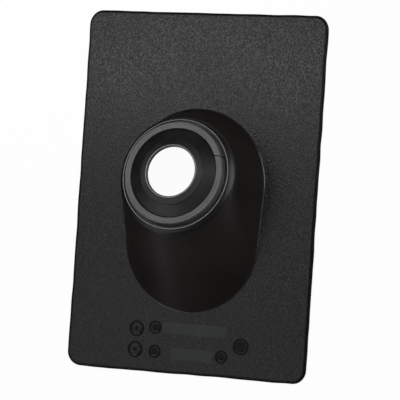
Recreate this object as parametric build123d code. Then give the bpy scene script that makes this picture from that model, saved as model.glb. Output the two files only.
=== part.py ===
from build123d import *
import os
from math import asin, atan2, cos, degrees, radians, sin, tan

# A roof flashing boot for a vent pipe, in millimetres and degrees.
# It lies on its sheet: +Z leaves the roof, +Y runs up the slope, the origin is under the sheet's centre.

# The sheet
sheet_width = 235.0
sheet_length = 330.0
sheet_thickness = 2.8
sheet_corner_radius = 13.0
sheet_edge_round = 1.8

# The boot's outline on the sheet: two circles on the centre line, joined by their tangents
crown_circle_radius = 67.0
crown_circle_y = 9.0
toe_circle_radius = 64.0
toe_circle_y = -44.5
boot_wall = 2.6
boot_root_round = 2.5

# The collar's axis: it leaves the sheet's underside here and leans up the slope
axis_y = 5.0
axis_tilt = 10.84
rim_height = 53.15

# Radii of the collar, the ring and the neck, from the hole outwards
hole_radius = 22.75
lip_width = 1.7
step_radius = 30.2
ring_bore_radius = 41.0
ring_top_width = 5.5
ring_draft = 1.2
crevice_width = 1.9
rim_wall = 1.2
shoulder_width = 4.2
snap_depth = 0.35
groove_clearance = 0.15
sleeve_clearance = 0.1
seat_margin = 1.0

# Heights along the axis, from the top of the neck's rim
rim_lip = 2.6
rim_exposed = 2.2
shoulder_drop = 5.6
shoulder_bulge = 0.4
seat_thickness = 2.4
ring_foot = 2.2
ring_wall = 1.6
ring_rise = 5.2
ring_edge_round = 0.5
split_width = 0.8
split_angle = 23.4
split_slant = -29.0

# The rubber
rubber_wall = 2.2
collar_rim_clearance = 0.3
cone_edge_rise = 3.9
cone_edge_round = 1.6
step_rise = 8.9
step_height = 0.6
step_round = 0.5
flat_rise = 1.2
lip_height = 0.7
lip_round = 0.65

# Round moulded marks near the sheet's lower edge: centre x, height above that edge, radius, and the
# radius of what stands in the middle
mark_places = (
    (-48.8, 38.7, 7.0, 1.8),
    (-49.2, 19.6, 7.3, 1.8),
    (-30.4, 41.0, 5.8, 3.0),
    (-29.6, 19.0, 5.8, 3.0),
    (36.0, 18.7, 5.8, 3.0),
    (54.3, 29.4, 7.3, 4.8),
)
mark_line = 1.2
mark_relief = 0.35

# Two bare bars between the marks: centre x, height above the edge, width and length up the sheet
bar_places = (
    (8.5, 41.0, 62.0, 10.0),
    (6.5, 18.0, 41.0, 10.5),
)
bar_corner_radius = 2.0
bar_relief = 0.3

# Sizes that follow from the ones above
ring_top_radius = ring_bore_radius + ring_top_width
ring_base_radius = ring_top_radius + ring_draft
rim_bore_radius = ring_base_radius + crevice_width
rim_radius = rim_bore_radius + rim_wall
ring_foot_radius = rim_bore_radius + snap_depth
neck_bore_radius = ring_foot_radius + groove_clearance
neck_radius = rim_radius + shoulder_width
seat_bore_radius = ring_bore_radius + seat_margin
sleeve_radius = ring_bore_radius - sleeve_clearance
collar_rim_radius = neck_bore_radius - collar_rim_clearance

foot_top = rim_height - rim_lip
foot_bottom = foot_top - ring_foot
seat_top = foot_bottom - rubber_wall
seat_bottom = seat_top - seat_thickness
shoulder = rim_height - shoulder_drop

axis_origin = (0, axis_y, 0)
axis_direction = (0, sin(radians(axis_tilt)), cos(radians(axis_tilt)))
collar_axis = Axis(axis_origin, axis_direction)
across_axis = Plane(axis_origin, x_dir=(1, 0, 0), z_dir=axis_direction)
section_normal = (0, -cos(radians(axis_tilt)), sin(radians(axis_tilt)))
section_plane = Plane(axis_origin, x_dir=(1, 0, 0), z_dir=section_normal)

# The normal of the boot's straight sides, seen from above, and the short arc of the crown that they rise to
side_angle = degrees(asin((toe_circle_radius - crown_circle_radius) / (crown_circle_y - toe_circle_y)))
side_arc = 3.0


def point_at(radius, angle, centre_y=0.0):
    return (radius * cos(radians(angle)), centre_y + radius * sin(radians(angle)))


def four_edges(crown_radius, crown_y, toe_radius, toe_y, twist=0.0):
    # a closed outline of a crown arc, a side, a toe arc and a side
    crown_right = point_at(crown_radius, side_angle, crown_y)
    crown_left = point_at(crown_radius, 180 - side_angle, crown_y)
    toe_left = point_at(toe_radius, 180 - side_angle + twist, toe_y)
    toe_right = point_at(toe_radius, side_angle - twist, toe_y)
    crown_arc = ThreePointArc(crown_right, point_at(crown_radius, 90, crown_y), crown_left)
    toe_arc = ThreePointArc(toe_left, point_at(toe_radius, -90, toe_y), toe_right)
    if twist:
        middle = side_angle - twist / 2
        left_side = ThreePointArc(crown_left, point_at(toe_radius, 180 - middle, toe_y), toe_left)
        right_side = ThreePointArc(toe_right, point_at(toe_radius, middle, toe_y), crown_right)
    else:
        left_side = Line(crown_left, toe_left)
        right_side = Line(toe_right, crown_right)
    return make_face([crown_arc, left_side, toe_arc, right_side])


def boot_outline(height, crown_inset=0.0, toe_inset=0.0):
    face = four_edges(
        crown_circle_radius - crown_inset, crown_circle_y, toe_circle_radius - toe_inset, toe_circle_y
    )
    return Plane.XY.offset(height) * face


def axis_circle(radius, height):
    return across_axis.offset(height) * four_edges(radius, 0, radius, 0, side_arc)


def section(*corners):
    # corners are (radius, height along the axis)
    return make_face(Polyline(*corners, close=True))


def rounded(face, corner, radius):
    nearest = face.vertices().sort_by_distance((*corner, 0))[0]
    return fillet(nearest, radius)


def turned(face):
    return revolve(section_plane * face, collar_axis)


def make_sheet():
    outline = RectangleRounded(sheet_width, sheet_length, sheet_corner_radius)
    sheet = extrude(outline, sheet_thickness)
    top_edges = sheet.faces().sort_by(Axis.Z)[-1].edges()
    return fillet(top_edges, sheet_edge_round)


def make_boot_body():
    return loft([boot_outline(sheet_thickness), axis_circle(neck_radius, shoulder)], ruled=True)


def make_boot_hollow():
    # the wall keeps its thickness from the underside to the seat, so each inset follows the slope there
    side_rise = shoulder * cos(radians(axis_tilt)) - sheet_thickness
    side_slope = atan2(side_rise, crown_circle_radius - neck_radius)
    toe_rise = side_rise + neck_radius * sin(radians(axis_tilt))
    toe_edge = axis_y + shoulder * sin(radians(axis_tilt)) - neck_radius * cos(radians(axis_tilt))
    toe_slope = atan2(toe_rise, toe_edge - (toe_circle_y - toe_circle_radius))
    crown_inset = boot_wall / sin(side_slope) - sheet_thickness / tan(side_slope)
    toe_inset = boot_wall / sin(toe_slope) - sheet_thickness / tan(toe_slope)
    top_inset = boot_wall / sin(side_slope) - (shoulder - seat_bottom) / tan(side_slope)
    foot = boot_outline(0, crown_inset, toe_inset)
    return loft([foot, axis_circle(neck_radius - top_inset, seat_bottom)], ruled=True)


def make_neck():
    # the rounded shoulder that the rim stands on
    rim_foot = rim_height - rim_exposed
    arc = SagittaArc((neck_radius, shoulder), (rim_radius, rim_foot), shoulder_bulge)
    rest = Polyline(
        (rim_radius, rim_foot),
        (rim_radius, rim_height),
        (0, rim_height),
        (0, shoulder),
        (neck_radius, shoulder),
    )
    return turned(make_face([arc, *rest.edges()]))


def make_neck_bore():
    bore = section(
        (0, seat_bottom),
        (seat_bore_radius, seat_bottom),
        (seat_bore_radius, seat_top),
        (neck_bore_radius, seat_top),
        (neck_bore_radius, foot_top),
        (rim_bore_radius, foot_top),
        (rim_bore_radius, rim_height),
        (0, rim_height),
    )
    return turned(bore)


def make_marks():
    marks = []
    for x, rise, radius, middle_radius in mark_places:
        face = Circle(radius) - Circle(radius - mark_line) + Circle(middle_radius)
        marks.append(Pos(x, rise - sheet_length / 2, sheet_thickness) * extrude(face, mark_relief))
    return marks


def make_bars():
    bars = []
    for x, rise, width, length in bar_places:
        outline = RectangleRounded(width, length, bar_corner_radius)
        bars.append(Pos(x, rise - sheet_length / 2, sheet_thickness) * extrude(outline, bar_relief))
    return bars


def round_boot_root(body):
    # the boot's outline is the one hole in the sheet's top, which is the highest level face here
    top_face = body.faces().filter_by(Axis.Z).sort_by(Axis.Z)[-1]
    return fillet(top_face.inner_wires()[0].edges(), boot_root_round)


def make_base_boot():
    body = round_boot_root(make_sheet() + make_boot_body())
    body = body + make_neck() - make_boot_hollow() - make_neck_bore()
    for raised in (*make_marks(), *make_bars()):
        body = body + raised
    return body


def make_retaining_ring():
    top = rim_height + ring_rise
    face = section(
        (ring_bore_radius, foot_bottom),
        (ring_bore_radius, top),
        (ring_top_radius, top),
        (ring_base_radius, foot_top),
        (ring_foot_radius, foot_top),
        (ring_foot_radius, foot_bottom),
        (ring_base_radius - ring_wall, foot_bottom),
        (ring_top_radius - ring_wall, top - ring_wall),
        (ring_bore_radius + ring_wall, top - ring_wall),
        (ring_bore_radius + ring_wall, foot_bottom),
    )
    face = rounded(face, (ring_bore_radius, top), ring_edge_round)
    face = rounded(face, (ring_top_radius, top), ring_edge_round)
    ring_depth = ring_foot_radius - ring_bore_radius
    ring_height = top - foot_bottom
    split_middle = (ring_bore_radius + ring_top_width / 2, 0, foot_bottom + ring_height / 2)
    split = Pos(*split_middle) * Rot(0, 0, split_slant) * Box(3 * ring_depth, split_width, 2 * ring_height)
    return turned(face) - across_axis * Rot(0, 0, split_angle) * split


def make_collar():
    cone_edge = rim_height + cone_edge_rise
    step_top = rim_height + step_rise
    flat_edge = step_top + flat_rise
    lip_top = flat_edge + lip_height
    lip_radius = hole_radius + lip_width
    inner_sleeve_radius = sleeve_radius - rubber_wall
    face = section(
        (collar_rim_radius, seat_top),
        (collar_rim_radius, foot_bottom),
        (sleeve_radius, foot_bottom),
        (sleeve_radius, cone_edge),
        (step_radius, step_top - step_height),
        (step_radius, step_top),
        (lip_radius, flat_edge),
        (lip_radius, lip_top),
        (hole_radius, lip_top),
        (hole_radius, flat_edge - rubber_wall),
        (step_radius, step_top - rubber_wall),
        (inner_sleeve_radius, cone_edge - rubber_wall),
        (inner_sleeve_radius, seat_top),
    )
    face = rounded(face, (sleeve_radius, cone_edge), cone_edge_round)
    face = rounded(face, (step_radius, step_top), step_round)
    face = rounded(face, (lip_radius, lip_top), lip_round)
    face = rounded(face, (hole_radius, lip_top), lip_round)
    return turned(face)


def main():
    os.makedirs("parts", exist_ok=True)
    export_step(make_base_boot(), "parts/base_boot.step")
    export_step(make_retaining_ring(), "parts/retaining_ring.step")
    export_step(make_collar(), "parts/collar.step")


main()
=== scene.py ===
from math import asin, atan2, cos, hypot, pi, radians, sin, tan

import bmesh
import bpy
from mathutils import Matrix, Vector, noise


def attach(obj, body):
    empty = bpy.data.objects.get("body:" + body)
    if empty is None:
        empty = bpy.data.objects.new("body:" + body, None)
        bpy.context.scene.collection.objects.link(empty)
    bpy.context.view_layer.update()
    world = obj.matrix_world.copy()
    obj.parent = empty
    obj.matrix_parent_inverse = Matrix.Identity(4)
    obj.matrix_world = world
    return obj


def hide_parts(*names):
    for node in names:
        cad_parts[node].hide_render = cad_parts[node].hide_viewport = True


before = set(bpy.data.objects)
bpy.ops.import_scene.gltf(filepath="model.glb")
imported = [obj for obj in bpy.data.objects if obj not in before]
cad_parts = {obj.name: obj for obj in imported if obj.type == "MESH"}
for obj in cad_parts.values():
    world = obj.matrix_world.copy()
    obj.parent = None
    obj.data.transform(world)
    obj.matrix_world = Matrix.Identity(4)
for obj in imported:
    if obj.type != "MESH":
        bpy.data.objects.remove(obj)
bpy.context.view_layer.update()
print("frame loaded:", ", ".join(sorted(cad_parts)))

# The pieces are modelled in millimetres, and finishPiece scales them to metres
mm = 0.001
mergeReach = 0.001
sharpAngle = 35.0

# What the neck, the ring and the collar turn about: a line from under the sheet that leans up the slope
collarLine = {"footY": 5.0, "tilt": 10.84, "rimHeight": 53.15}
ontoCollarLine = (
    Matrix.Translation((0, collarLine["footY"], 0)) @ Matrix.Rotation(radians(-collarLine["tilt"]), 4, "X")
)

# How the ring and the collar fit in the neck: widths out from the ring's bore, heights down from the rim
fit = {
    "ringBore": 41.0,
    "ringTopWidth": 5.5,
    "ringDraft": 1.2,
    "crevice": 1.9,
    "snap": 0.35,
    "grooveRoom": 0.15,
    "collarRoom": 0.3,
    "sleeveRoom": 0.1,
    "seatMargin": 1.0,
    "rimLip": 2.6,
    "ringFoot": 2.2,
    "rubber": 2.2,
}
rimBore = fit["ringBore"] + fit["ringTopWidth"] + fit["ringDraft"] + fit["crevice"]
neckBore = rimBore + fit["snap"] + fit["grooveRoom"]
seatBore = fit["ringBore"] + fit["seatMargin"]
seatDepth = fit["rimLip"] + fit["ringFoot"] + fit["rubber"]


# Mesh helpers: a loop is a list of vertices in order, the same way round in each loop of a piece

def sharedEdge(first, second):
    return next(edge for edge in first.link_edges if edge.other_vert(first) is second)


def edgesOf(loop):
    return [sharedEdge(first, second) for first, second in zip(loop, loop[1:] + loop[:1])]


def startLoop(bm, places):
    made = bmesh.ops.create_circle(bm, segments=len(places), radius=1.0)["verts"]
    for vert, place in zip(made, places):
        vert.co = place
    return made


def extrudeLoop(bm, loop, places):
    # pulls a loop out to its next places, which leaves a band of faces behind it
    made = bmesh.ops.extrude_edge_only(bm, edges=edgesOf(loop))["geom"]
    fresh = {item for item in made if isinstance(item, bmesh.types.BMVert)}
    following = [next(e.other_vert(v) for e in v.link_edges if e.other_vert(v) in fresh) for v in loop]
    for vert, place in zip(following, places):
        vert.co = place
    return following


def fillBetween(bm, loops, up):
    edges = [edge for loop in loops for edge in edgesOf(loop)]
    bmesh.ops.triangle_fill(bm, use_beauty=True, use_dissolve=False, edges=edges, normal=(0, 0, up))


def curveAt(start, bend, end, t):
    return start * (1 - t) ** 2 + bend * 2 * t * (1 - t) + end * t ** 2


def roundedProfile(corners, steps):
    # corners are (radius, height, rounding): each rounding becomes a short curve of steps + 1 points
    points = []
    for index, (radius, height, rounding) in enumerate(corners):
        here = Vector((radius, height))
        if rounding == 0:
            points.append(here)
            continue
        before = Vector(corners[index - 1][:2]) - here
        after = Vector(corners[(index + 1) % len(corners)][:2]) - here
        reach = rounding / tan(before.angle(after) / 2)
        start = here + before.normalized() * reach
        end = here + after.normalized() * reach
        points += [curveAt(start, here, end, step / steps) for step in range(steps + 1)]
    return points


def roundedRectangle(width, length, cornerRadius, inset, cornerSteps, sideSteps=(1, 1)):
    # each corner's arc and then the side to the next one, with its own steps across and along
    radius = cornerRadius - inset
    right, back = width / 2 - cornerRadius, length / 2 - cornerRadius
    corners = ((right, back), (-right, back), (-right, -back), (right, -back))
    outline = []
    for index, (x, y) in enumerate(corners):
        for step in range(cornerSteps + 1):
            angle = pi / 2 * (index + step / cornerSteps)
            outline.append((x + radius * cos(angle), y + radius * sin(angle)))
        nextX, nextY = corners[(index + 1) % 4]
        start = Vector(outline[-1])
        end = Vector((nextX + radius * cos(angle), nextY + radius * sin(angle)))
        steps = sideSteps[index % 2]
        outline += [tuple(start.lerp(end, step / steps)) for step in range(1, steps)]
    return outline


def pointAt(radius, angle, centreY=0.0, height=0.0):
    return Vector((radius * cos(angle), centreY + radius * sin(angle), height))


def turnedLoop(point, angles):
    radius, height = point
    return [ontoCollarLine @ pointAt(radius, angle, 0.0, height) for angle in angles]


def spinProfile(bm, points, steps, gap=0.0):
    # turns the section's outline round, and closes the two ends that a gap leaves
    verts = [bm.verts.new((radius, 0, height)) for radius, height in points]
    edges = [bm.edges.new((a, b)) for a, b in zip(verts, verts[1:] + verts[:1])]
    bmesh.ops.rotate(bm, verts=verts, cent=(0, 0, 0), matrix=Matrix.Rotation(gap / 2, 3, "Z"))
    bmesh.ops.spin(bm, geom=verts + edges, cent=(0, 0, 0), axis=(0, 0, 1), angle=2 * pi - gap,
                   steps=steps, use_merge=not gap)
    if gap:
        bmesh.ops.holes_fill(bm, edges=[edge for edge in bm.edges if edge.is_boundary], sides=0)


def paintAbove(bm, height, above, below):
    for face in bm.faces:
        face.material_index = above if face.calc_center_median().z > height else below


def makeObject(bm, name, materials):
    mesh = bpy.data.meshes.new(name)
    bm.to_mesh(mesh)
    bm.free()
    for material in materials:
        mesh.materials.append(material)
    made = bpy.data.objects.new(name, mesh)
    bpy.context.scene.collection.objects.link(made)
    return made


def finishPiece(bm, name, materials):
    bmesh.ops.remove_doubles(bm, verts=bm.verts, dist=mergeReach)
    bmesh.ops.recalc_face_normals(bm, faces=bm.faces)
    for edge in bm.edges:
        if len(edge.link_faces) == 2 and edge.calc_face_angle() > radians(sharpAngle):
            edge.smooth = False
    bmesh.ops.scale(bm, vec=(mm, mm, mm), verts=bm.verts)
    piece = makeObject(bm, name, materials)
    piece.data.polygons.foreach_set("use_smooth", [True] * len(piece.data.polygons))
    return piece


# Node helpers

def addNode(tree, kind, links=None, **settings):
    # links are socket name or number: a value, or an output of another node
    node = tree.nodes.new(kind)
    for key, value in settings.items():
        setattr(node, key, value)
    for key, value in (links or {}).items():
        if isinstance(value, bpy.types.NodeSocket):
            tree.links.new(value, node.inputs[key])
        else:
            node.inputs[key].default_value = value
    return node


def calculate(tree, operation, *values):
    return addNode(tree, "ShaderNodeMath", dict(enumerate(values)), operation=operation).outputs[0]


def calculateVector(tree, operation, *values):
    node = addNode(tree, "ShaderNodeVectorMath", dict(enumerate(values)), operation=operation)
    return node.outputs["Value" if operation == "LENGTH" else "Vector"]


def noiseAt(tree, place, scale, detail=0.0, roughness=0.5):
    links = {"Vector": place, "Scale": scale, "Detail": detail, "Roughness": roughness}
    return addNode(tree, "ShaderNodeTexNoise", links).outputs


def maskBetween(tree, value, zeroAt, oneAt, blend="LINEAR"):
    links = {"Value": value, "From Min": zeroAt, "From Max": oneAt}
    return addNode(tree, "ShaderNodeMapRange", links, interpolation_type=blend).outputs["Result"]


def spread(tree, mask, low, high):
    # a number that runs from low to high with a mask
    links = {"Value": mask, "To Min": low, "To Max": high}
    return addNode(tree, "ShaderNodeMapRange", links).outputs["Result"]


def tint(tree, mask, atZero, atOne):
    # each of the two is a colour, or another node's output
    ends = {}
    for side, colour in (("A", atZero), ("B", atOne)):
        ends[side] = colour if isinstance(colour, bpy.types.NodeSocket) else (*colour, 1.0)
    return addNode(tree, "ShaderNodeMix", {"Factor": mask, **ends}, data_type="RGBA").outputs["Result"]


# Shared effects: node groups that give out masks and heights

def newGroup(name, inputs, outputs):
    group = bpy.data.node_groups.new(name, "ShaderNodeTree")
    for way, sockets in (("INPUT", inputs), ("OUTPUT", outputs)):
        for label, kind in sockets.items():
            group.interface.new_socket(label, in_out=way, socket_type="NodeSocket" + kind)
    return group, group.nodes.new("NodeGroupInput").outputs, group.nodes.new("NodeGroupOutput").inputs


pebbleShape = {
    "wanderScale": 300.0,
    "wanderDetail": 1.0,
    "wander": (0.0006, 0.0006, 0.0006),
    "softness": 0.35,
    "valley": 0.62,
    "crest": 0.12,
    "fineScale": 1900.0,
    "fineDetail": 2.0,
    "fineShare": 0.22,
}


def makePebbleGrain():
    # shallow rounded pebbles with narrow valleys, as a mould's etched grain leaves them
    group, given, gives = newGroup("pebbleGrain", {"Position": "Vector", "Pebbles": "Float"},
                                   {"Height": "Float", "ValleyShade": "Float"})
    shape = pebbleShape
    wander = noiseAt(group, given["Position"], shape["wanderScale"], shape["wanderDetail"])["Color"]
    shift = calculateVector(group, "MULTIPLY", wander, shape["wander"])
    moved = calculateVector(group, "ADD", given["Position"], shift)
    cells = addNode(group, "ShaderNodeTexVoronoi", {"Vector": moved, "Scale": given["Pebbles"]},
                    feature="SMOOTH_F1", voronoi_dimensions="3D")
    cells.inputs["Smoothness"].default_value = shape["softness"]
    dome = maskBetween(group, cells.outputs["Distance"], shape["valley"], shape["crest"], "SMOOTHSTEP")
    fine = noiseAt(group, given["Position"], shape["fineScale"], shape["fineDetail"])["Fac"]
    group.links.new(calculate(group, "MULTIPLY_ADD", fine, shape["fineShare"], dome), gives["Height"])
    # this valley mask is what darkens the colour: painted shade in the grain's valleys
    group.links.new(calculate(group, "SUBTRACT", 1.0, dome), gives["ValleyShade"])
    return group


patchShape = {"detail": 4.0, "roughness": 0.55, "zeroAt": 0.36, "oneAt": 0.64}


def makeSoftPatches():
    # broad uneven patches: dust, handling and uneven cooling
    group, given, gives = newGroup("softPatches", {"Position": "Vector", "Patches": "Float"},
                                   {"Patch": "Float"})
    shape = patchShape
    broad = noiseAt(group, given["Position"], given["Patches"], shape["detail"], shape["roughness"])["Fac"]
    patch = maskBetween(group, broad, shape["zeroAt"], shape["oneAt"], "SMOOTHSTEP")
    group.links.new(patch, gives["Patch"])
    return group


lineShape = {"around": (1.1, 1.1, 1.1), "detail": 3.0, "roughness": 0.6}


def makeTurnedLines():
    # fine lines that run round the collar's line
    group, given, gives = newGroup("turnedLines", {"Position": "Vector", "Lines": "Float"},
                                   {"Line": "Float"})
    tilt = radians(collarLine["tilt"])
    foot = collarLine["footY"] * mm
    local = addNode(group, "ShaderNodeMapping", {"Vector": given["Position"],
                                                 "Location": (0, -foot * cos(tilt), -foot * sin(tilt)),
                                                 "Rotation": (tilt, 0, 0)}, vector_type="POINT")
    apart = addNode(group, "ShaderNodeSeparateXYZ", {0: local.outputs[0]}).outputs
    flat = addNode(group, "ShaderNodeCombineXYZ", {"X": apart["X"], "Y": apart["Y"]}).outputs[0]
    way = calculateVector(group, "NORMALIZE", flat)
    around = calculateVector(group, "MULTIPLY", way, lineShape["around"])
    outward = calculate(group, "SUBTRACT", calculateVector(group, "LENGTH", flat), apart["Z"])
    drawn = calculate(group, "MULTIPLY", outward, given["Lines"])
    lift = addNode(group, "ShaderNodeCombineXYZ", {"Z": drawn}).outputs[0]
    along = calculateVector(group, "ADD", around, lift)
    line = noiseAt(group, along, 1.0, lineShape["detail"], lineShape["roughness"])["Fac"]
    group.links.new(line, gives["Line"])
    return group


pebbleGrain = makePebbleGrain()
softPatches = makeSoftPatches()
turnedLines = makeTurnedLines()


# Finishes: a finish has its colours, its gloss and its lowest and highest roughness

def newMaterial(name, gloss):
    material = bpy.data.materials.new(name)
    material.use_nodes = True
    skin = material.node_tree.nodes["Principled BSDF"]
    skin.inputs["Specular IOR Level"].default_value = gloss
    return material, material.node_tree, skin


def objectPlace(tree):
    return addNode(tree, "ShaderNodeTexCoord").outputs["Object"]


def fitGroup(tree, group, links):
    return addNode(tree, "ShaderNodeGroup", links, node_tree=group).outputs


def patchesAt(tree, place, patches):
    return fitGroup(tree, softPatches, {"Position": place, "Patches": patches})["Patch"]


def linesAt(tree, place, lines):
    return fitGroup(tree, turnedLines, {"Position": place, "Lines": lines})["Line"]


def dress(tree, skin, finish, colourMask, roughMask):
    tree.links.new(tint(tree, colourMask, finish["dark"], finish["light"]), skin.inputs["Base Color"])
    tree.links.new(spread(tree, roughMask, *finish["rough"]), skin.inputs["Roughness"])


def raiseSkin(tree, skin, height, depth):
    raised = addNode(tree, "ShaderNodeBump", {"Height": height, "Distance": depth, "Strength": 1.0})
    tree.links.new(raised.outputs["Normal"], skin.inputs["Normal"])


def makePatchySkin(name, finish):
    # broad patches in its colour and roughness, over ripples where the finish has them
    material, tree, skin = newMaterial(name, finish["gloss"])
    place = objectPlace(tree)
    patch = patchesAt(tree, place, finish["patches"])
    dress(tree, skin, finish, patch, patch)
    if "ripple" in finish:
        ripple = noiseAt(tree, place, finish["ripple"], finish["rippleDetail"])["Fac"]
        raiseSkin(tree, skin, ripple, finish["rippleDepth"])
    return material


# its dark is the painted shade in the grain's valleys, and its light is the crests
sheetFinish = {
    "dark": (0.0003, 0.0003, 0.0003),
    "light": (0.0185, 0.0186, 0.0183),
    "gloss": 0.27,
    "rough": (0.25, 0.33),
    "pebbles": 690.0,
    "patches": 14.0,
    "grainDepth": 0.00016,
    "specks": 950.0,
    "speckRange": (0.60, 0.74),
    "speck": (0.034, 0.035, 0.035),
}

# the shoulder's grain, with the same painted shade in its valleys
shoulderFinish = {
    "dark": (0.0045, 0.0045, 0.0045),
    "light": (0.0105, 0.0105, 0.0104),
    "gloss": 0.36,
    "rough": (0.30, 0.38),
    "pebbles": 1000.0,
    "patches": 30.0,
    "grainDepth": 0.00004,
    "specks": 1200.0,
    "speckRange": (0.60, 0.74),
    "speck": (0.024, 0.024, 0.024),
}


def makeGrainedPlastic(name, finish):
    # the valleys between the pebbles are painted dark, as painted shade, and fine pale specks go where the
    # patches are
    material, tree, skin = newMaterial(name, finish["gloss"])
    place = objectPlace(tree)
    grain = fitGroup(tree, pebbleGrain, {"Position": place, "Pebbles": finish["pebbles"]})
    patch = patchesAt(tree, place, finish["patches"])
    ground = tint(tree, grain["ValleyShade"], finish["light"], finish["dark"])
    dots = maskBetween(tree, noiseAt(tree, place, finish["specks"])["Fac"], *finish["speckRange"])
    specked = tint(tree, calculate(tree, "MULTIPLY", dots, patch), ground, finish["speck"])
    tree.links.new(specked, skin.inputs["Base Color"])
    tree.links.new(spread(tree, patch, *finish["rough"]), skin.inputs["Roughness"])
    raiseSkin(tree, skin, grain["Height"], finish["grainDepth"])
    return material


# the boot's wall, the neck and the inside
bootFinish = {
    "dark": (0.0114, 0.0084, 0.0084),
    "light": (0.0146, 0.0108, 0.0109),
    "gloss": 0.22,
    "rough": (0.36, 0.44),
    "patches": 22.0,
    "ripple": 95.0,
    "rippleDetail": 2.0,
    "rippleDepth": 0.00006,
}

# the marks' own inserts in the mould have no grain, and neither has the sheet's edge; both are painted darker
# than the sheet's plastic, as painted shade for the shade and dark reflections on them
markFinish = {
    "dark": (0.0026, 0.0026, 0.0026),
    "light": (0.0042, 0.0041, 0.0041),
    "gloss": 0.10,
    "rough": (0.30, 0.40),
    "patches": 160.0,
}

# the bars are blasted matt, and painted a shade paler than the grain: a painted highlight, for the light that
# raised edges catch
barFinish = {
    "dark": (0.024, 0.0255, 0.0255),
    "light": (0.034, 0.0360, 0.0360),
    "gloss": 0.27,
    "rough": (0.55, 0.70),
    "patches": 60.0,
    "ripple": 2600.0,
    "rippleDetail": 2.0,
    "rippleDepth": 0.00005,
}

# the flat top of the neck's rim, painted pale: a painted highlight, for the bright line of light along its
# edge
rimFinish = {
    "dark": (0.050, 0.050, 0.049),
    "light": (0.085, 0.084, 0.083),
    "gloss": 0.6,
    "rough": (0.22, 0.30),
    "lines": 1200.0,
}

# where the boot's fillet meets its wall
rootFinish = {
    "dark": (0.010, 0.010, 0.010),
    "light": (0.016, 0.016, 0.016),
    "gloss": 0.7,
    "rough": (0.20, 0.26),
    "lines": 1200.0,
}


def makeEdgeHighlightPlastic(name, finish):
    # colour drawn in fine turned lines: on the rim it is painted pale, a painted highlight; the root stays
    # near the boot's colour, with more gloss
    material, tree, skin = newMaterial(name, finish["gloss"])
    line = linesAt(tree, objectPlace(tree), finish["lines"])
    dress(tree, skin, finish, line, line)
    return material


# The base: grained sheet, hollow boot and neck, moulded in one

baseSizes = {
    "sheetWidth": 235.0,
    "sheetLength": 330.0,
    "sheetThickness": 2.8,
    "cornerRadius": 13.0,
    "edgeRound": 1.8,
    "crownRadius": 67.0,
    "crownY": 9.0,
    "toeRadius": 64.0,
    "toeY": -44.5,
    "wall": 2.6,
    "rootRound": 2.5,
    "grainUpRoot": 0.6,
    "rimWall": 1.2,
    "rimExposed": 2.2,
    "rimRound": 0.35,
    "rimFootRound": 0.5,
    "rimLineDepth": 0.105,
    "shoulderWidth": 4.2,
    "shoulderDrop": 5.6,
    "shoulderBulge": 0.4,
    "seatThickness": 2.4,
    "sideArc": 3.0,
    "crownSteps": 120,
    "sideSteps": 24,
    "toeSteps": 112,
    "wallSteps": 10,
    "rootSteps": 6,
    "shoulderSteps": 8,
    "roundSteps": 4,
    "guard": 0.8,
}

sheetEdge = {
    "underRound": 0.3,
    "bow": 0.175,
    "wave": 0.5,
    "waveLength": 17.0,
    "waveSlice": 7.0,
    "cornerSteps": 14,
    "widthSteps": 70,
    "lengthSteps": 96,
    "roundSteps": 5,
}

markSizes = {
    # centre x, height above the sheet's lower edge, radius, and the radius of what stands in the middle
    "places": (
        (-48.8, 38.7, 7.0, 1.8),
        (-49.2, 19.6, 7.3, 1.8),
        (-30.4, 41.0, 5.8, 3.0),
        (-29.6, 19.0, 5.8, 3.0),
        (36.0, 18.7, 5.8, 3.0),
        (54.3, 29.4, 7.3, 4.8),
    ),
    "line": 1.2,
    "relief": 0.35,
    "draft": 0.12,
    "lineFoot": 0.4,
    "middleFoot": 0.2,
    "guard": 0.4,
    "steps": 40,
}

barSizes = {
    # centre x, height above the sheet's lower edge, width and length up the sheet
    "places": ((8.5, 41.0, 62.0, 10.0), (6.5, 18.0, 41.0, 10.5)),
    "cornerRadius": 2.0,
    "relief": 0.3,
    "draft": 0.12,
    "topInset": 0.6,
    "guard": 0.4,
    "cornerSteps": 6,
}

# the base's finishes, in the order of its material slots
baseLooks = ("grained", "smooth", "mark", "bar", "rim", "shoulder", "root")


def paintRest(bm, painted, look):
    # the faces that have no look yet take this one
    for face in bm.faces:
        if face not in painted:
            face.material_index = baseLooks.index(look)
            painted.add(face)


def bootStations():
    # where each vertex of a boot loop stands: on the crown's arc, a side or the toe's arc, and how far along
    steps = (("crown", baseSizes["crownSteps"]), ("leftSide", baseSizes["sideSteps"]),
             ("toe", baseSizes["toeSteps"]), ("rightSide", baseSizes["sideSteps"]))
    return [(part, step / count) for part, count in steps for step in range(count)]


stations = bootStations()
sideAngle = asin((baseSizes["toeRadius"] - baseSizes["crownRadius"])
                 / (baseSizes["crownY"] - baseSizes["toeY"]))


def outlineLoop(crownRadius, toeRadius, height):
    crownY, toeY = baseSizes["crownY"], baseSizes["toeY"]
    loop = []
    for part, t in stations:
        if part == "crown":
            loop.append(pointAt(crownRadius, sideAngle + (pi - 2 * sideAngle) * t, crownY, height))
        elif part == "toe":
            loop.append(pointAt(toeRadius, pi - sideAngle + (pi + 2 * sideAngle) * t, toeY, height))
        else:
            angle = pi - sideAngle if part == "leftSide" else sideAngle
            crownEnd = pointAt(crownRadius, angle, crownY, height)
            toeEnd = pointAt(toeRadius, angle, toeY, height)
            loop.append(crownEnd.lerp(toeEnd, t if part == "leftSide" else 1 - t))
    return loop


def neckAngles():
    # the boot's straight sides rise to short arcs of the neck
    arc = radians(baseSizes["sideArc"])
    angles = []
    for part, t in stations:
        if part == "crown":
            angles.append(sideAngle + (pi - 2 * sideAngle) * t)
        elif part == "leftSide":
            angles.append(pi - sideAngle + arc * t)
        elif part == "toe":
            angles.append(pi - sideAngle + arc + (pi + 2 * sideAngle - 2 * arc) * t)
        else:
            angles.append(2 * pi + sideAngle - arc * (1 - t))
    return angles


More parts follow.
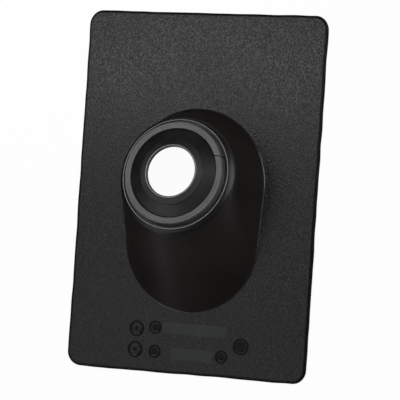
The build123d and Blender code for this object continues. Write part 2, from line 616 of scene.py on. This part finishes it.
def rootCurves(foot, outward, neck):
    # for each vertex the fillet's place on the sheet, the sharp corner and the fillet's place on the wall
    curves = []
    for corner, way, end in zip(foot, outward, neck):
        along = Vector((-way.y, way.x, 0))
        rise = end - corner
        steepest = rise - along * rise.dot(along)
        slope = atan2(steepest.z, -steepest.dot(way))
        reach = baseSizes["rootRound"] * tan(slope / 2)
        curves.append((corner + way * reach, corner, corner + rise * (reach / steepest.length)))
    return curves


def neckProfile():
    # the shoulder's curve, the upright rim, and the groove and the seat inside
    size = baseSizes
    rim = collarLine["rimHeight"]
    rimOuter = rimBore + size["rimWall"]
    rimFoot = rim - size["rimExposed"]
    start = Vector((rimOuter + size["shoulderWidth"], rim - size["shoulderDrop"]))
    end = Vector((rimOuter, rimFoot))
    span = end - start
    bend = (start + end) / 2 + Vector((-span.y, span.x)).normalized() * -size["shoulderBulge"] * 2
    steps = size["shoulderSteps"]
    shoulder = [curveAt(start, bend, end, step / steps) for step in range(steps + 1)]
    lip = roundedProfile(
        [
            (*shoulder[-2], 0),
            (rimOuter, rimFoot, size["rimFootRound"]),
            (rimOuter, rim, size["rimRound"]),
            (rimBore, rim, size["rimRound"]),
            (rimBore, rim - fit["rimLip"], 0),
            (neckBore, rim - fit["rimLip"], 0),
            (neckBore, rim - seatDepth, 0),
            (seatBore, rim - seatDepth, 0),
            (seatBore, rim - seatDepth - size["seatThickness"], 0),
        ],
        size["roundSteps"],
    )
    return shoulder[:-2] + lip


def hollowInsets(neckOuter, seatUnder):
    # how far the hollow's foot and top lie inside the boot, so that its wall keeps its thickness
    size = baseSizes
    tilt = radians(collarLine["tilt"])
    shoulder = collarLine["rimHeight"] - size["shoulderDrop"]
    sideRise = shoulder * cos(tilt) - size["sheetThickness"]
    sideSlope = atan2(sideRise, size["crownRadius"] - neckOuter)
    toeRise = sideRise + neckOuter * sin(tilt)
    toeEdge = collarLine["footY"] + shoulder * sin(tilt) - neckOuter * cos(tilt)
    toeSlope = atan2(toeRise, toeEdge - (size["toeY"] - size["toeRadius"]))
    crownInset = size["wall"] / sin(sideSlope) - size["sheetThickness"] / tan(sideSlope)
    toeInset = size["wall"] / sin(toeSlope) - size["sheetThickness"] / tan(toeSlope)
    topInset = size["wall"] / sin(sideSlope) - (shoulder - seatUnder) / tan(sideSlope)
    return crownInset, toeInset, topInset


def wavyEdge(place, height):
    # the sheet's edge is a little wavy and its long sides are drawn in, as cooled plastic is
    x, y = place
    wave = noise.noise(Vector((x, y, sheetEdge["waveSlice"])) / sheetEdge["waveLength"]) * sheetEdge["wave"]
    onLongSide = abs(x) > baseSizes["sheetWidth"] / 2 - 2 * baseSizes["cornerRadius"]
    bow = sheetEdge["bow"] * cos(pi * y / baseSizes["sheetLength"]) if onLongSide else 0
    return Vector((x + wave - (bow if x > 0 else -bow), y + wave, height))


def sheetLoop(inset, height):
    outline = roundedRectangle(baseSizes["sheetWidth"], baseSizes["sheetLength"], baseSizes["cornerRadius"],
                               inset, sheetEdge["cornerSteps"],
                               (sheetEdge["widthSteps"], sheetEdge["lengthSteps"]))
    return [wavyEdge(place, height) for place in outline]


def makeSheetEdge(bm, painted):
    # from the underside's rim, up the edge and over its rounding to the level top, in the marks' colour,
    # which is painted shade
    top, turn, steps = baseSizes["sheetThickness"], baseSizes["edgeRound"], sheetEdge["roundSteps"]
    under = startLoop(bm, sheetLoop(sheetEdge["underRound"], 0.0))
    loop = extrudeLoop(bm, under, sheetLoop(0.0, sheetEdge["underRound"]))
    for step in range(steps + 1):
        angle = pi / 2 * step / steps
        loop = extrudeLoop(bm, loop, sheetLoop(turn * (1 - cos(angle)), top - turn * (1 - sin(angle))))
    loop = extrudeLoop(bm, loop, sheetLoop(turn + baseSizes["guard"], top))
    paintRest(bm, painted, "mark")
    return under, loop


def makeBoot(bm, painted):
    # one band after another: fillet, wall, shoulder, rim, groove, seat, then down the inside
    size = baseSizes
    top = size["sheetThickness"]
    angles = neckAngles()
    profile = neckProfile()
    neckOuter = profile[0][0]
    foot = outlineLoop(size["crownRadius"], size["toeRadius"], top)
    wider = outlineLoop(size["crownRadius"] + 1, size["toeRadius"] + 1, top)
    outward = [(far - near).normalized() for far, near in zip(wider, foot)]  # each vertex's own way out
    neck = turnedLoop(profile[0], angles)
    curves = rootCurves(foot, outward, neck)
    skirt = startLoop(bm, [start + way * size["guard"] for (start, *rest), way in zip(curves, outward)])
    loop = skirt
    for step in range(size["rootSteps"] + 1):
        t = step / size["rootSteps"]
        loop = extrudeLoop(bm, loop, [curveAt(*curve, t) for curve in curves])
        paintRest(bm, painted, "grained" if t < size["grainUpRoot"] else "root")
    for step in range(1, size["wallSteps"] + 1):
        t = step / size["wallSteps"]
        loop = extrudeLoop(bm, loop, [curve[2].lerp(end, t) for curve, end in zip(curves, neck)])
    paintRest(bm, painted, "smooth")
    rimLine = collarLine["rimHeight"] - size["rimLineDepth"]
    rimFoot = collarLine["rimHeight"] - size["rimExposed"]
    for last, point in zip(profile, profile[1:]):
        loop = extrudeLoop(bm, loop, turnedLoop(point, angles))
        lower, upper = sorted((last[1], point[1]))
        onShoulder = upper < rimFoot and point[0] < last[0]
        # the rim's top takes its painted highlight, the shoulder its grain
        paintRest(bm, painted, "rim" if lower > rimLine else "shoulder" if onShoulder else "smooth")
    seatUnder = collarLine["rimHeight"] - seatDepth - size["seatThickness"]
    crownInset, toeInset, topInset = hollowInsets(neckOuter, seatUnder)
    hollowTop = turnedLoop((neckOuter - topInset, seatUnder), angles)
    hollowFoot = outlineLoop(size["crownRadius"] - crownInset, size["toeRadius"] - toeInset, 0.0)
    for step in range(size["wallSteps"] + 1):
        t = step / size["wallSteps"]
        loop = extrudeLoop(bm, loop, [a.lerp(b, t) for a, b in zip(hollowTop, hollowFoot)])
    paintRest(bm, painted, "smooth")
    return skirt, loop


def makeMarks(bm, painted):
    # each ring and middle is smooth, and the floor between them is grained as the sheet is
    size = markSizes
    low = baseSizes["sheetThickness"]
    high = low + size["relief"]
    turns = [2 * pi * step / size["steps"] for step in range(size["steps"])]
    skirts = []
    for x, rise, radius, middle in size["places"]:
        centre = Vector((x, rise - baseSizes["sheetLength"] / 2, 0))
        inner = radius - size["line"]
        bands = (
            (radius, low, "mark"),
            (radius - size["draft"], high, "mark"),
            (inner + size["draft"], high, "mark"),
            (inner - size["lineFoot"], low, "mark"),
            (middle + size["middleFoot"], low, "grained"),
            (middle - size["draft"], high, "mark"),
        )
        loop = startLoop(bm, [centre + pointAt(radius + size["guard"], a, 0, low) for a in turns])
        skirts.append(loop)
        for reach, height, look in bands:
            loop = extrudeLoop(bm, loop, [centre + pointAt(reach, a, 0, height) for a in turns])
            paintRest(bm, painted, look)
        bmesh.ops.contextual_create(bm, geom=edgesOf(loop))
    paintRest(bm, painted, "mark")
    return skirts


def makeBars(bm, painted):
    size = barSizes
    low = baseSizes["sheetThickness"]
    high = low + size["relief"]
    insets = ((-size["guard"], low), (0.0, low), (size["draft"], high), (size["topInset"], high))
    skirts = []
    for x, rise, width, length in size["places"]:
        centre = Vector((x, rise - baseSizes["sheetLength"] / 2, 0))
        bands = []
        for inset, height in insets:
            outline = roundedRectangle(width, length, size["cornerRadius"], inset, size["cornerSteps"])
            bands.append([centre + Vector((*place, height)) for place in outline])
        loop = startLoop(bm, bands[0])
        skirts.append(loop)
        for places in bands[1:]:
            loop = extrudeLoop(bm, loop, places)
        bmesh.ops.contextual_create(bm, geom=edgesOf(loop))
    paintRest(bm, painted, "bar")
    return skirts


def makeBaseBoot():
    bm = bmesh.new()
    painted = set()
    skirt, hollowFoot = makeBoot(bm, painted)
    marks = makeMarks(bm, painted)
    bars = makeBars(bm, painted)
    under, edge = makeSheetEdge(bm, painted)
    fillBetween(bm, [edge, skirt, *marks, *bars], 1)
    fillBetween(bm, [under, hollowFoot], -1)
    paintRest(bm, painted, "grained")
    materials = {
        "grained": makeGrainedPlastic("grainedPlastic", sheetFinish),
        "smooth": makePatchySkin("smoothPlastic", bootFinish),
        "mark": makePatchySkin("markPaintedShade", markFinish),
        "bar": makePatchySkin("barPaintedHighlight", barFinish),
        "rim": makeEdgeHighlightPlastic("rimPaintedHighlight", rimFinish),
        "shoulder": makeGrainedPlastic("shoulderPlastic", shoulderFinish),
        "root": makeEdgeHighlightPlastic("rootPlastic", rootFinish),
    }
    piece = finishPiece(bm, "baseBoot", [materials[look] for look in baseLooks])
    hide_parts("base_boot")
    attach(piece, "root")
    print("base boot:", len(piece.data.polygons), "faces")


makeBaseBoot()


# The ring: a channel section, sprung into the neck and split at one place

ringSizes = {
    "wall": 1.6,
    "rise": 5.2,
    "edgeRound": 0.45,
    "split": 0.8,
    "splitAngle": 23.4,
    "splitSlant": -29.0,
    "slantReach": 40.0,
    "steps": 220,
    "roundSteps": 4,
}

ringFinish = {
    "dark": (0.079, 0.077, 0.075),
    "light": (0.133, 0.130, 0.127),
    "gloss": 0.3,
    "rough": (0.42, 0.62),
    "patches": 45.0,
    "lines": 1700.0,
    "lineRange": (0.34, 0.68),
    "lineDepth": 0.00005,
}

# its flanks are painted darker than its top: painted shade, for the less light that falls on its sides
flankShadeFinish = {
    "dark": (0.050, 0.049, 0.048),
    "light": (0.068, 0.0665, 0.065),
    "gloss": 0.25,
    "rough": (0.50, 0.60),
    "patches": 60.0,
}


def makeRingPlastic():
    # the ring's top is drawn with fine lines
    material, tree, skin = newMaterial("ringPlastic", ringFinish["gloss"])
    place = objectPlace(tree)
    line = maskBetween(tree, linesAt(tree, place, ringFinish["lines"]), *ringFinish["lineRange"])
    dress(tree, skin, ringFinish, line, patchesAt(tree, place, ringFinish["patches"]))
    raiseSkin(tree, skin, line, ringFinish["lineDepth"])
    return material


def slantSplit(bm, middle):
    # swings the ends round by their radius, less and less away from the cut, so that the cut runs aslant
    slant = radians(ringSizes["splitSlant"])
    reach = radians(ringSizes["slantReach"])
    for vert in bm.verts:
        radius = hypot(vert.co.x, vert.co.y)
        away = min(abs(atan2(vert.co.y, vert.co.x)) / reach, 1)
        swing = slant - asin(middle / radius * sin(slant))
        vert.co.rotate(Matrix.Rotation(swing * (1 - away) ** 2, 3, "Z"))


def makeRetainingRing():
    size = ringSizes
    bore, wall = fit["ringBore"], size["wall"]
    top = collarLine["rimHeight"] + size["rise"]
    footTop = collarLine["rimHeight"] - fit["rimLip"]
    footUnder = footTop - fit["ringFoot"]
    topOuter = bore + fit["ringTopWidth"]
    baseOuter = topOuter + fit["ringDraft"]
    footOuter = rimBore + fit["snap"]
    profile = roundedProfile(
        [
            (bore, footUnder, 0),
            (bore, top, size["edgeRound"]),
            (topOuter, top, size["edgeRound"]),
            (baseOuter, footTop, 0),
            (footOuter, footTop, 0),
            (footOuter, footUnder, 0),
            (baseOuter - wall, footUnder, 0),
            (topOuter - wall, top - wall, 0),
            (bore + wall, top - wall, 0),
            (bore + wall, footUnder, 0),
        ],
        size["roundSteps"],
    )
    bm = bmesh.new()
    middle = bore + fit["ringTopWidth"] / 2
    across = size["split"] / cos(radians(size["splitSlant"]))
    spinProfile(bm, profile, size["steps"], across / middle)
    slantSplit(bm, middle)
    # the top takes the ring's colour, and the flanks below it the painted shade
    paintAbove(bm, top - size["edgeRound"], 0, 1)
    bmesh.ops.rotate(bm, verts=bm.verts, cent=(0, 0, 0),
                     matrix=Matrix.Rotation(radians(size["splitAngle"]), 3, "Z"))
    bmesh.ops.transform(bm, matrix=ontoCollarLine, verts=bm.verts)
    materials = [makeRingPlastic(), makePatchySkin("flankPaintedShade", flankShadeFinish)]
    piece = finishPiece(bm, "retainingRing", materials)
    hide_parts("retaining_ring")
    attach(piece, "root")
    print("retaining ring:", len(piece.data.polygons), "faces")


makeRetainingRing()


# The rubber collar: a clamped rim, a sleeve, a low cone, a step and a lip round the hole

collarSizes = {
    "hole": 22.75,
    "lipWidth": 2.1,
    "stepRadius": 30.2,
    "coneEdgeRise": 3.9,
    "coneEdgeRound": 1.6,
    "stepRise": 8.9,
    "stepHeight": 0.6,
    "stepFootRound": 0.25,
    "stepRound": 0.5,
    "flatRise": 1.2,
    "lipHeight": 0.7,
    "lipRound": 0.6,
    "lipLineDepth": 0.07,
    "holeRound": 1.1,
    "steps": 200,
    "roundSteps": 5,
}

collarFinish = {
    "dark": (0.0034, 0.0035, 0.0037),
    "light": (0.0058, 0.0059, 0.0062),
    "gloss": 0.38,
    "rough": (0.36, 0.48),
    "patches": 38.0,
    "lines": 900.0,
    "lineDepth": 0.00002,
}

# the lip is smoother and painted pale: a painted highlight, for the bright line of light along its crest
lipHighlightFinish = {
    "dark": (0.045, 0.045, 0.046),
    "light": (0.065, 0.065, 0.066),
    "gloss": 0.6,
    "rough": (0.20, 0.28),
    "patches": 120.0,
}


def makeCollarRubber():
    material, tree, skin = newMaterial("collarRubber", collarFinish["gloss"])
    place = objectPlace(tree)
    patch = patchesAt(tree, place, collarFinish["patches"])
    dress(tree, skin, collarFinish, patch, patch)
    raiseSkin(tree, skin, linesAt(tree, place, collarFinish["lines"]), collarFinish["lineDepth"])
    return material


def makeRubberCollar():
    size = collarSizes
    rim = collarLine["rimHeight"]
    rubber = fit["rubber"]
    rimOuter = neckBore - fit["collarRoom"]
    sleeve = fit["ringBore"] - fit["sleeveRoom"]
    seat = rim - seatDepth
    coneEdge = rim + size["coneEdgeRise"]
    stepTop = rim + size["stepRise"]
    flatEdge = stepTop + size["flatRise"]
    lipTop = flatEdge + size["lipHeight"]
    lipOuter = size["hole"] + size["lipWidth"]
    profile = roundedProfile(
        [
            (rimOuter, seat, 0),
            (rimOuter, seat + rubber, 0),
            (sleeve, seat + rubber, 0),
            (sleeve, coneEdge, size["coneEdgeRound"]),
            (size["stepRadius"], stepTop - size["stepHeight"], size["stepFootRound"]),
            (size["stepRadius"], stepTop, size["stepRound"]),
            (lipOuter, flatEdge, 0),
            (lipOuter, lipTop, size["lipRound"]),
            (size["hole"], lipTop, size["holeRound"]),
            (size["hole"], flatEdge - rubber, 0),
            (size["stepRadius"], stepTop - rubber, 0),
            (sleeve - rubber, coneEdge - rubber, 0),
            (sleeve - rubber, seat, 0),
        ],
        size["roundSteps"],
    )
    bm = bmesh.new()
    spinProfile(bm, profile, size["steps"])
    # the faces above the lip's line take the painted highlight
    paintAbove(bm, lipTop - size["lipLineDepth"], 1, 0)
    bmesh.ops.transform(bm, matrix=ontoCollarLine, verts=bm.verts)
    materials = [makeCollarRubber(), makePatchySkin("lipPaintedHighlight", lipHighlightFinish)]
    piece = finishPiece(bm, "rubberCollar", materials)
    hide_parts("collar")
    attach(piece, "root")
    print("rubber collar:", len(piece.data.polygons), "faces")


makeRubberCollar()


# Studio, in metres: white floor, dark cards, soft lights and the camera

studio = {
    "floorSize": 60.0,
    "floorDrop": 0.0003,
    "floorColour": (0.9, 0.9, 0.9),
    "floorRough": 0.9,
    "floorGlow": 0.96,
    "cardColour": (0.002, 0.002, 0.002),
    "worldLight": 0.055,
}


def seenAsBackdrop(tree):
    # 1 for what the camera sees, straight, in a gloss or through glass
    path = addNode(tree, "ShaderNodeLightPath").outputs
    gloss = calculate(tree, "MAXIMUM", path["Is Camera Ray"], path["Is Glossy Ray"])
    return calculate(tree, "MAXIMUM", gloss, path["Is Transmission Ray"])


def makeFloor():
    bm = bmesh.new()
    bmesh.ops.create_grid(bm, x_segments=1, y_segments=1, size=studio["floorSize"] / 2)
    bmesh.ops.translate(bm, vec=(0, 0, -studio["floorDrop"]), verts=bm.verts)
    material, tree, paint = newMaterial("whiteFloor", 0.0)
    paint.inputs["Base Color"].default_value = (*studio["floorColour"], 1)
    paint.inputs["Roughness"].default_value = studio["floorRough"]
    glow = addNode(tree, "ShaderNodeEmission", {"Color": (1, 1, 1, 1), "Strength": 1.0})
    share = calculate(tree, "MULTIPLY", seenAsBackdrop(tree), studio["floorGlow"])
    mix = addNode(tree, "ShaderNodeMixShader", {0: share, 1: paint.outputs[0], 2: glow.outputs[0]})
    tree.links.new(mix.outputs[0], tree.nodes["Material Output"].inputs["Surface"])
    makeObject(bm, "floor", [material])


darkCards = {
    # a quarter turn apart: how far the foot is from the middle, the length, and the reach outwards and up
    "right": {"foot": 0.121, "length": 0.40, "out": 0.030, "up": 0.020},
    "back": {"foot": 0.169, "length": 0.30, "out": 0.030, "up": 0.020},
    "left": {"foot": 0.121, "length": 0.44, "out": 0.065, "up": 0.062},
    "front": {"foot": 0.169, "length": 0.30, "out": 0.030, "up": 0.020},
}


def makeDarkCards():
    # black cards lean out round the sheet: only its gloss sees them, and they keep the bright floor out of it
    black, tree, paint = newMaterial("blackCard", 0.0)
    paint.inputs["Base Color"].default_value = (*studio["cardColour"], 1)
    for turn, (side, card) in enumerate(darkCards.items()):
        out, up = card["out"], card["up"]
        bm = bmesh.new()
        bmesh.ops.create_grid(bm, x_segments=1, y_segments=1, size=0.5)
        bmesh.ops.scale(bm, vec=(hypot(out, up), card["length"], 1), verts=bm.verts)
        bmesh.ops.rotate(bm, verts=bm.verts, cent=(0, 0, 0), matrix=Matrix.Rotation(-atan2(up, out), 3, "Y"))
        bmesh.ops.translate(bm, vec=(card["foot"] + out / 2, 0, up / 2), verts=bm.verts)
        bmesh.ops.rotate(bm, verts=bm.verts, cent=(0, 0, 0), matrix=Matrix.Rotation(pi / 2 * turn, 3, "Z"))
        standing = makeObject(bm, side + "Card", [black])
        standing.visible_camera = standing.visible_diffuse = standing.visible_shadow = False


def makeWorld():
    world = bpy.data.worlds.new("studioWorld")
    world.use_nodes = True
    lit = world.node_tree.nodes["Background"]
    lit.inputs["Color"].default_value = (1, 1, 1, 1)
    lit.inputs["Strength"].default_value = studio["worldLight"]
    bpy.context.scene.world = world


lamps = {
    # the glow is how bright the box's face is; "down" boxes face the floor, the others face the object
    "nearStrip": {"place": (-0.20, 0.16, 0.42), "size": (0.46, 0.12), "glow": 2.15, "down": True},
    "overheadBox": {"place": (-0.23, 0.22, 0.55), "size": (0.74, 0.22), "glow": 2.0, "down": True},
    "ceilingBox": {"place": (-0.10, 0.0, 2.4), "size": (1.4, 1.4), "glow": 0.42, "down": True},
    "rightBox": {"place": (1.67, 0.68, 1.26), "size": (1.5, 1.3), "glow": 2.9, "down": False},
    "lowRightBox": {"place": (1.55, 0.37, 0.30), "size": (0.8, 0.4), "glow": 3.4, "down": False},
    "leftBox": {"place": (-1.01, -0.71, 1.82), "size": (1.7, 1.5), "glow": 1.35, "down": False},
    "lowFrontBox": {"place": (-1.48, -1.48, 0.68), "size": (1.2, 0.8), "glow": 1.05, "down": False},
}


def makeLamps():
    for name, lamp in lamps.items():
        data = bpy.data.lights.new(name, "AREA")
        data.shape = "RECTANGLE"
        data.size, data.size_y = lamp["size"]
        data.energy = lamp["glow"] * data.size * data.size_y * pi
        box = bpy.data.objects.new(name, data)
        box.location = lamp["place"]
        if not lamp["down"]:
            box.rotation_euler = (-Vector(lamp["place"])).to_track_quat("-Z", "Y").to_euler()
        bpy.context.scene.collection.objects.link(box)


cameraSizes = {
    "lens": 220.0,
    "sensor": 36.0,
    "place": (0.8568, -0.0557, 2.0533),
    "right": (0.92201, 0.06727, -0.38129),
    "up": (-0.05352, 0.99748, 0.04656),
}


def makeCamera():
    data = bpy.data.cameras.new("camera")
    data.lens = cameraSizes["lens"]
    data.sensor_width = cameraSizes["sensor"]
    right = Vector(cameraSizes["right"]).normalized()
    back = right.cross(Vector(cameraSizes["up"])).normalized()
    turned = Matrix((right, back.cross(right), back)).transposed().to_4x4()
    camera = bpy.data.objects.new("camera", data)
    camera.matrix_world = Matrix.Translation(cameraSizes["place"]) @ turned
    bpy.context.scene.collection.objects.link(camera)
    bpy.context.scene.camera = camera


makeFloor()
makeDarkCards()
makeWorld()
makeLamps()
makeCamera()
bpy.context.scene.view_settings.view_transform = "Standard"
print("studio ready")
